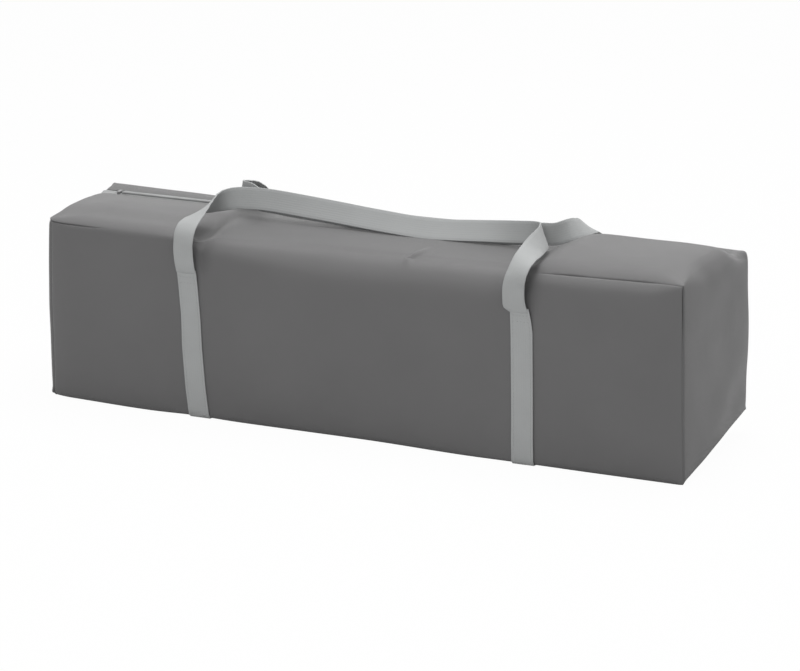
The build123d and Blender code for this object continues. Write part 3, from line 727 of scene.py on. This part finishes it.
handleLook = {
    "width": 0.0248, "thick": 0.0016, "step": 0.004, "across": 6, "cup": 0.0004, "wander": 0.0002, "square": False,
    # place of the middle of the webbing in mm, the way from its lower to its upper edge, share of the full width
    "front": [
        (-203.5, -99.8, 171.7, 1, 0, 0, 0.94), (-204.0, -101.0, 180, 1, 0, 0.02, 0.94),
        (-204.6, -103.0, 195, 1, 0, -0.02, 0.95), (-203.8, -104.2, 209, 0.98, -0.1, -0.15, 0.98),
        (-203.0, -101.5, 219.5, 0.99, -0.12, -0.05), (-202.2, -94, 227, 1, -0.05, 0.05),
        (-202, -80, 231, 0.978, 0, 0.208), (-202, -66, 233.3, 0.906, 0, 0.423), (-202, -52, 234.6, 0.766, 0, 0.643),
        (-201, -40, 235.2, 0.574, 0, 0.819), (-199, -28, 235.6, 0.342, 0.03, 0.94),
        (-193.5, -17, 236.3, 0.1, 0.12, 0.985), (-186, -9.5, 237.2, 0, 0.2, 0.98), (-173, -5, 237.9, 0, 0.25, 0.97),
        (-140, -4, 238.2, 0, 0.3, 0.95), (-71, -4, 233.5, 0, 0.42, 0.91), (-20, -4, 229.4, 0, 0.5, 0.87),
        (39, -4, 225.4, 0, 0.55, 0.83), (75, -4, 226.6, 0, 0.55, 0.83), (110, -4, 229.3, 0, 0.5, 0.87),
        (159, -4, 233.2, 0.05, 0.25, 0.97), (181, -6.5, 235.4, -0.15, 0, 1),
        (189, -16, 234.9, -0.42, 0, 0.907), (193.2, -36, 235.8, -0.58, 0, 0.815), (195, -55, 235.4, -0.725, 0, 0.689),
        (195.8, -74, 233.5, -0.87, 0.26, 0.415), (194.7, -88, 230.4, -0.92, 0.285, 0.273),
        (192.8, -98, 224.3, -0.955, 0.27, 0.12), (190.8, -103, 216.9, -0.97, 0.24, 0.06),
        (189.0, -105, 209.4, -0.99, 0.13, -0.04), (187.1, -104, 200.5, -1, 0, -0.04, 1.01),
        (186.7, -102.6, 188, -1, 0, -0.08, 1.01), (187.1, -100.6, 179.4, -1, 0, -0.13, 1.05),
        (189.6, -99.4, 174.6, -1, 0, -0.06, 0.95), (191.5, -100.0, 171.7, -1, 0, 0, 0.86),
    ],
    "rear": [
        (-203.5, 99.8, 171.7, 1, 0, 0, 0.94), (-204.0, 100.6, 181, 1, 0, 0), (-204.2, 102.2, 192, 1, 0, 0),
        (-203.6, 102, 204, 1, 0, 0), (-202, 97.5, 213.5, 1, 0, 0.04), (-198.5, 86, 221.5, 0.99, 0, 0.12),
        (-194.5, 73, 226.8, 0.97, 0, 0.24), (-192.3, 61, 231, 0.9, 0, 0.43), (-192.9, 50.5, 235.2, 0.8, 0, 0.6),
        (-193.7, 40.5, 236.6, 0.65, 0, 0.76), (-193.6, 30.5, 237.6, 0.5, 0, 0.866), (-190.5, 21, 238.4, 0.25, 0, 0.97),
        (-183, 14.5, 239.4, 0, 0.05, 1), (-174.5, 11.5, 239.4, 0, 0.05, 1), (-166, 9, 235.5, 0, 0.1, 1),
        (-156, 7, 233.3, 0, 0.2, 0.98), (-140, 5.5, 232.8, 0, 0.25, 0.97), (-120, 5, 231.3, 0, 0.3, 0.95),
        (-70, 4.5, 228.4, 0, 0.45, 0.9), (-20, 4.5, 225.4, 0, 0.5, 0.87), (39, 4.5, 223.6, 0, 0.55, 0.83),
        (110, 4.5, 225.3, 0, 0.5, 0.87), (159, 4.5, 229, 0, 0.3, 0.95), (180, 6, 230.6, 0, 0.2, 1),
        (192, 12, 230.2, -0.1, 0.1, 1), (200, 23, 231.2, -0.35, 0, 0.94), (206, 38, 231.5, -0.58, 0, 0.81),
        (208.5, 56, 228.7, -0.7, 0, 0.71), (208.5, 74, 224.8, -0.82, 0, 0.57), (206, 90, 218.5, -0.93, 0, 0.36),
        (205, 100, 210, -0.98, 0, 0.15), (203.5, 102.5, 198, -1, 0, 0), (201, 101.2, 183, -1, 0, 0),
        (192.0, 99.8, 171.7, -1, 0, 0, 0.88),
    ],
}


def handleStations(rows):
    # A width is set square to the run, except in rows that give its share of the full width
    places = [Vector(row[:3]) * mm for row in rows]
    stations = []
    for index, row in enumerate(rows):
        width = Vector(row[3:6]).normalized()
        if len(row) == 6:
            ahead = (places[min(index + 1, len(rows) - 1)] - places[max(index - 1, 0)]).normalized()
            width = squareTo(width, ahead)
        else:
            width = width * row[6]
        stations.append((places[index], width))
    return stations


for row, strapEnd in (("front", 0), ("rear", -1)):
    stations = handleStations(handleLook[row])
    for end, strap in ((0, "left"), (-1, "right")):
        stations[end][0].y = strapRuns[strap][strapEnd][0].y
    weaveRibbon(row + "_webbing_handle", stations, handleLook, "webbing", row + "_handle",
                [row + "_handle"])
print("webbing woven")


# Zip

tapeLook = {
    "width": 0.0125, "thick": 0.0007, "step": 0.008, "across": 6, "split": 0.003,
    "slope": {"front": 0.3, "rear": 0.12},
    # place along the bag, how much nearer the two tapes come, how far they rise
    "run": [(-0.389, 0.0013, 0.0004), (-0.378, 0.0013, 0.0004), (-0.370, 0.0007, 0.0002), (-0.360, 0, 0),
            (-0.34, 0, 0), (0, 0, 0), (0.2, 0, 0), (0.374, 0, 0)],
}
coilLook = {
    "level": 0.2081, "start": -0.3634, "end": 0.3582, "pitch": 0.0019,
    "tooth": (0.0011, 0.0031, 0.0024), "rounding": 0.00052, "gap": 0.00005,
}


def makeTape(row, side):
    slope = tapeLook["slope"][row]
    away = (tapeLook["split"] + tapeLook["width"]) / 2
    z = coilLook["level"] - tapeLook["thick"] / 2 - slope * tapeLook["width"] / 2
    width = Vector((0, 1, -side * slope)).normalized()
    stations = [(Vector((x, zipY + side * (away - nearer), z + rise)), width)
                for x, nearer, rise in tapeLook["run"]]
    weaveRibbon("zip_tape_weave_" + row, stations, tapeLook, "zipTape", "bag", ["zip_tape_" + row])


def makeTeeth():
    bm = bmesh.new()
    long, wide, tall = coilLook["tooth"]
    for side in (-1, 1):
        tooth = bmesh.ops.create_cube(bm, size=1.0)["verts"]
        bmesh.ops.scale(bm, vec=coilLook["tooth"], verts=tooth)
        edges = {e for v in tooth for e in v.link_edges}
        shift = (coilLook["start"] + long / 2 + (0.5 + side * 0.25) * coilLook["pitch"],
                 zipY + side * (wide / 2 + coilLook["gap"]), coilLook["level"] + tall / 2)
        bmesh.ops.translate(bm, vec=shift, verts=tooth)
        bmesh.ops.bevel(bm, geom=list(edges), offset=coilLook["rounding"], affect="EDGES", segments=2, profile=0.5,
                        material=-1)
    piece = keepPiece(bm, "zip_teeth", "zipCoil", "bag", ["zip_coils"])
    count = int((coilLook["end"] - coilLook["start"]) / coilLook["pitch"]) - 1
    repeatAlong(piece, coilLook["pitch"], count)


makeTape("front", -1)
makeTape("rear", 1)
makeTeeth()
print("zip made")


# Stitching on the straps and along the zip

stitchLook = {
    "length": 0.0028, "thick": 0.0005, "flat": 0.4, "pitch": 0.0042, "lift": 0.0001,
    # on the straps, from the upper end down: two rows along the edges and two across
    "inset": 0.0028, "start": 0.0062, "end": 0.006, "reach": 0.002, "cross": (0.0075, 0.0135),
    "zipRun": (-0.374, 0.370), "zipInset": 0.0025, "lipShare": 0.85,
}


def addStitch(bm, place, ahead, away):
    turn = Matrix((ahead, away.cross(ahead), away)).transposed().to_4x4()
    thick = stitchLook["thick"]
    size = Matrix.Diagonal((stitchLook["length"] / 2, thick / 2, thick * stitchLook["flat"], 1))
    bmesh.ops.create_icosphere(bm, subdivisions=1, radius=1.0, matrix=Matrix.Translation(place) @ turn @ size)


def stitchStrap(name, stations):
    bm = bmesh.new()
    length = runThrough(stations, 0.5)[2]
    leg = strapLook["top"] - stitchLook["end"]
    half = strapLook["width"] / 2 - stitchLook["inset"]
    lift = strapLook["thick"] / 2 + stitchLook["lift"]
    for onFront in (True, False):
        away = Vector((0, -1 if onFront else 1, 0))
        at = stitchLook["start"]
        while at < leg:
            share = at / length if onFront else 1 - at / length
            place, width, _ = runThrough(stations, share)
            ahead = headingAt(stations, share, stitchLook["reach"])
            for edge in (-1, 1):
                addStitch(bm, place + width * edge * half + away * lift, ahead, away)
            at += stitchLook["pitch"]
        for drop in stitchLook["cross"]:
            share = drop / length if onFront else 1 - drop / length
            place, width, _ = runThrough(stations, share)
            for step in range(-2, 3):
                addStitch(bm, place + width * step * stitchLook["pitch"] + away * lift, width, away)
    keepPiece(bm, name, "stitchThread", "bag")


def stitchZip():
    bm = bmesh.new()
    start, end = stitchLook["zipRun"]
    for side, lip in zip((-1, 1), bag["lip"]):
        place = Vector((start, zipY + side * (bag["slit"] + stitchLook["zipInset"]),
                        bag["high"] - lip * stitchLook["lipShare"] + stitchLook["lift"]))
        addStitch(bm, place, Vector((1, 0, 0)), Vector((0, 0, 1)))
    piece = keepPiece(bm, "zip_stitches", "seamThread", "bag")
    repeatAlong(piece, stitchLook["pitch"], int((end - start) / stitchLook["pitch"]))


for side in ("left", "right"):
    stitchStrap(side + "_strap_stitches", strapRuns[side])
stitchZip()
print("stitched")


# Tape that binds each seam inside the bag

bindingLook = {"width": 0.006, "thick": 0.0012, "step": 0.006, "across": 2, "depth": 0.0055, "stationStep": 0.012}


def bindSeam(row, side):
    low, high = bag["low"], bag["high"]
    corners = [(-halfLength, low), (halfLength, low), (halfLength, high), (-halfLength, high)]
    stations = []
    for (x0, z0), (x1, z1) in zip(corners, corners[1:] + corners[:1]):
        count = round(math.hypot(x1 - x0, z1 - z0) / bindingLook["stationStep"])
        for k in range(count):
            spot = Vector((mixed(x0, x1, k / count), side * halfDepth, mixed(z0, z1, k / count)))
            away = outward(spot)
            stations.append((settle(spot) - away * bindingLook["depth"], away))
    stations.append(stations[0])
    weaveRibbon(row + "_seam_tape", stations, bindingLook, "bindingTape", "bag",
                [row + "_seam_binding"], closed=True)


bindSeam("front", -1)
bindSeam("rear", 1)
print("seams bound")


# Soft pieces inside the bag: mat, ties, gathered walls and the hub's pull loop

matLook = {
    "gap": 0.0004, "step": 0.026, "fine": 0.005, "margin": 0.04,
    "thinning": 0.45, "edge": (-0.002, 0.012),      # how much thinner the pads' edges are, and how far in
    "wrinkle": 0.0006, "wrinkles": 26.0,
}
tieLook = {
    "width": 0.025, "thick": 0.0009, "step": 0.006, "across": 3, "corner": 0.005, "bendSteps": 4, "sideSteps": 14,
}
wallLook = {
    "thick": 0.0008, "width": 0.110, "waves": 5.5, "depth": 0.0026, "drift": 1.6, "driftScale": (5, 2, 3.7),
    "segments": (44, 66),
}
loopLook = {"width": 0.025, "thick": 0.0016, "step": 0.004, "across": 4, "legSteps": 4, "turn": 15}


def cornersOf(node):
    return [Vector(corner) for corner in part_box(node)]


def tuck(point):
    # Keeps what lies in the bag under the soft fold of its front top edge
    fold, reach = foldAt(point.x)
    inY = fold - (point.y + halfDepth) / reach
    inZ = fold - (bag["high"] - point.z)
    if inY <= 0 or inZ <= 0:
        return point
    spare = 1 - max(inY, inZ) / math.hypot(inY, inZ)
    return Vector((point.x, point.y + inY * spare * reach, point.z - inZ * spare))


def padPanel(number):
    node = "mat_panel_" + str(number)
    low, high = cornersOf(node)
    gap = Vector((matLook["gap"],) * 3)
    low, high = low + gap, high - gap
    size, middle = high - low, (low + high) / 2
    thin = 1 if size.y < size.z else 2
    wide = 3 - thin
    bm = makeBlock(size, middle)
    for axis in (0, wide):
        cutAcross(bm, axis, spacing(low[axis], high[axis], matLook["step"], matLook["fine"], matLook["margin"]))
    for v in bm.verts:
        local = v.co - middle
        inside = min(size.x / 2 - abs(local.x), size[wide] / 2 - abs(local[wide]))
        full = 1 - matLook["thinning"] * (1 - smoothStep(matLook["edge"], inside))
        ease = matLook["wrinkle"] * (1 + noise.noise(v.co * matLook["wrinkles"]))
        v.co[thin] = middle[thin] + local[thin] * full - math.copysign(ease, local[thin])
        v.co = tuck(v.co)
    piece = keepPiece(bm, "mat_pad_" + str(number), "matCover", "bag", [node])
    addSkin(piece)


def tieMat(name, x, nodes, low, high):
    corner, turns, steps = tieLook["corner"], tieLook["bendSteps"], tieLook["sideSteps"]
    bends = [(low.y + corner, low.z + corner, 180), (high.y - corner, low.z + corner, 270),
             (high.y - corner, high.z - corner, 0), (low.y + corner, high.z - corner, 90)]
    rings = []
    for y, z, first in bends:
        angles = [math.radians(first + k * 90 / turns) for k in range(turns + 1)]
        rings.append([Vector((x, y + corner * math.cos(a), z + corner * math.sin(a))) for a in angles])
    stations = []
    for ring, following in zip(rings, rings[1:] + rings[:1]):
        run = [ring[-1].lerp(following[0], k / steps) for k in range(1, steps)]
        stations += [(tuck(spot), Vector((1, 0, 0))) for spot in ring + run]
    stations.append(stations[0])
    weaveRibbon("mat_tie_" + name, stations, tieLook, "webbing", "bag", nodes, closed=True)


def tieBoth():
    low, high = cornersOf("mat_ties")
    inset = Vector((0, tieLook["thick"] / 2, tieLook["thick"] / 2))
    low, high = low + inset, high - inset
    tieMat("left", low.x + tieLook["width"] / 2, ["mat_ties"], low, high)
    tieMat("right", high.x - tieLook["width"] / 2, [], low, high)


def gatherWalls():
    low, high = cornersOf("side_walls")
    middle = (low + high) / 2
    length = high.x - low.x
    reach = (high.y - low.y) / 2 - wallLook["thick"] / 2
    driftX, driftY, driftZ = wallLook["driftScale"]
    alongCount, acrossCount = wallLook["segments"]
    bm = bmesh.new()
    sheet = bm.loops.layers.uv.new("cloth")
    for side in range(4):
        out = Vector((0, math.cos(side * math.pi / 2), math.sin(side * math.pi / 2)))
        over = Vector((0, -out.z, out.y))
        wall = bmesh.ops.create_grid(bm, x_segments=alongCount, y_segments=acrossCount, size=0.5)["verts"]
        for face in {f for v in wall for f in v.link_faces}:
            for loop in face.loops:
                loop[sheet].uv = (loop.vert.co.y * wallLook["width"], loop.vert.co.x * length)
        for v in wall:
            along, across = v.co.x, v.co.y
            drift = wallLook["drift"] * noise.noise(Vector((along * driftX, across * driftY, side * driftZ)))
            wave = 1 - math.cos(2 * math.pi * wallLook["waves"] * (across + 0.5) + drift)
            spot = out * (reach - wallLook["depth"] * wave) + over * across * wallLook["width"]
            v.co = middle + spot + Vector((along * length, 0, 0))
    piece = keepPiece(bm, "gathered_walls", "wallMesh", "bag", ["side_walls"])
    thicken(piece, wallLook["thick"])


def makePullLoop():
    low, high = cornersOf("pull_loop")
    middle = (low + high) / 2
    radius = (high.y - low.y) / 2 - loopLook["thick"] / 2
    bend = high.x - loopLook["thick"] / 2 - radius
    steps = loopLook["legSteps"]
    legs = [mixed(low.x, bend, k / steps) for k in range(steps)]
    angles = [math.radians(a) for a in range(-90, 91, loopLook["turn"])]
    path = [(x, -radius) for x in legs]
    path += [(bend + radius * math.cos(a), radius * math.sin(a)) for a in angles]
    path += [(x, radius) for x in reversed(legs)]
    stations = [(Vector((x, middle.y + y, middle.z)), Vector((0, 0, 1))) for x, y in path]
    weaveRibbon("hub_pull_loop", stations, loopLook, "webbing", "bag", ["pull_loop"])


for number in range(1, 8):
    padPanel(number)
tieBoth()
gatherWalls()
makePullLoop()
print("inside filled")


# Finishes of the pieces that stay as the CAD has them

nodeFinishes = {
    "zip_stops": "zipMetal", "zip_slider": "zipMetal", "zip_pull": "zipMetal", "pivot_rivets": "rivetSteel",
    "post": "frameTube", "long_rail": "frameTube", "short_rail": "frameTube", "floor_tube": "frameTube",
    "long_latch_button": "latchButton", "short_latch_button": "latchButton",
}
for name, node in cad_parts.items():
    starts = [start for start in nodeFinishes if name.startswith(start)]
    node.data.materials.clear()
    node.data.materials.append(finishes[nodeFinishes[starts[0]] if starts else "moulding"])
print("frame finished")


# Stage, light and camera

stageLook = {
    "floor": 0.66, "floorSize": 30.0,
    "floorGlow": 0.97,          # share of plain white in what the camera sees of the floor
    "world": 0.54,              # light from all round, which the camera and the gloss see as plain white
    "key": {"place": (0.2, 0.45, 2.45), "power": 48.5}, "fill": {"place": (-0.15, -2.45, 2.1), "power": 31.0},
    "lampSize": 1.6, "lampAim": (0, 0, 0.1),
}
cameraLook = {
    "azimuth": 22.377, "elevation": 17.481, "distance": 3.6066, "aim": (0.0136, 0, 0.0959), "lens": 144.4,
    "sensor": 36.0,
}
plainWhite = (1, 1, 1, 1)


def makeFloor():
    bm = bmesh.new()
    bmesh.ops.create_grid(bm, x_segments=1, y_segments=1, size=stageLook["floorSize"])
    finish = bpy.data.materials.new("studioFloor")
    finish.use_nodes = True
    tree = finish.node_tree
    tree.nodes.clear()
    matte = addNode(tree, "BsdfDiffuse", {"Color": (stageLook["floor"],) * 3 + (1,)})
    glow = addNode(tree, "Emission", {"Color": plainWhite, "Strength": 1.0})
    seen = addNode(tree, "LightPath").outputs["Is Camera Ray"]
    share = addMath(tree, "MULTIPLY", seen, stageLook["floorGlow"])
    both = addNode(tree, "MixShader", {0: share, 1: matte.outputs[0], 2: glow.outputs[0]})
    addNode(tree, "OutputMaterial", {"Surface": both.outputs[0]})
    floor = addShape("studio_floor", bm, finish)


def makeWorld():
    world = bpy.data.worlds.new("studio")
    bpy.context.scene.world = world
    world.use_nodes = True
    tree = world.node_tree
    tree.nodes.clear()
    rays = addNode(tree, "LightPath").outputs
    seen = addMath(tree, "MAXIMUM", rays["Is Camera Ray"], rays["Is Glossy Ray"])
    level = addNode(tree, "MapRange", {"Value": seen, "To Min": stageLook["world"], "To Max": 1.0})
    sky = addNode(tree, "Background", {"Color": plainWhite, "Strength": level.outputs[0]})
    addNode(tree, "OutputWorld", {"Surface": sky.outputs[0]})


def aimFrom(holder, place, ahead):
    holder.location = place
    holder.rotation_mode = "QUATERNION"
    holder.rotation_quaternion = ahead.to_track_quat("-Z", "Y")


def addLamp(name):
    place = Vector(stageLook[name]["place"])
    lamp = bpy.data.lights.new(name, "AREA")
    lamp.shape = "DISK"
    lamp.size = stageLook["lampSize"]
    lamp.energy = stageLook[name]["power"]
    aimFrom(addObject(name, lamp), place, Vector(stageLook["lampAim"]) - place)


def addCamera():
    lens = bpy.data.cameras.new("camera")
    lens.lens = cameraLook["lens"]
    lens.sensor_width = cameraLook["sensor"]
    camera = addObject("camera", lens)
    turn, rise = math.radians(cameraLook["azimuth"]), math.radians(cameraLook["elevation"])
    away = Vector((math.sin(turn) * math.cos(rise), -math.cos(turn) * math.cos(rise), math.sin(rise)))
    aimFrom(camera, Vector(cameraLook["aim"]) + away * cameraLook["distance"], -away)
    bpy.context.scene.camera = camera


makeFloor()
makeWorld()
addLamp("key")
addLamp("fill")
addCamera()
bpy.context.scene.view_settings.view_transform = "Standard"
print("stage set")
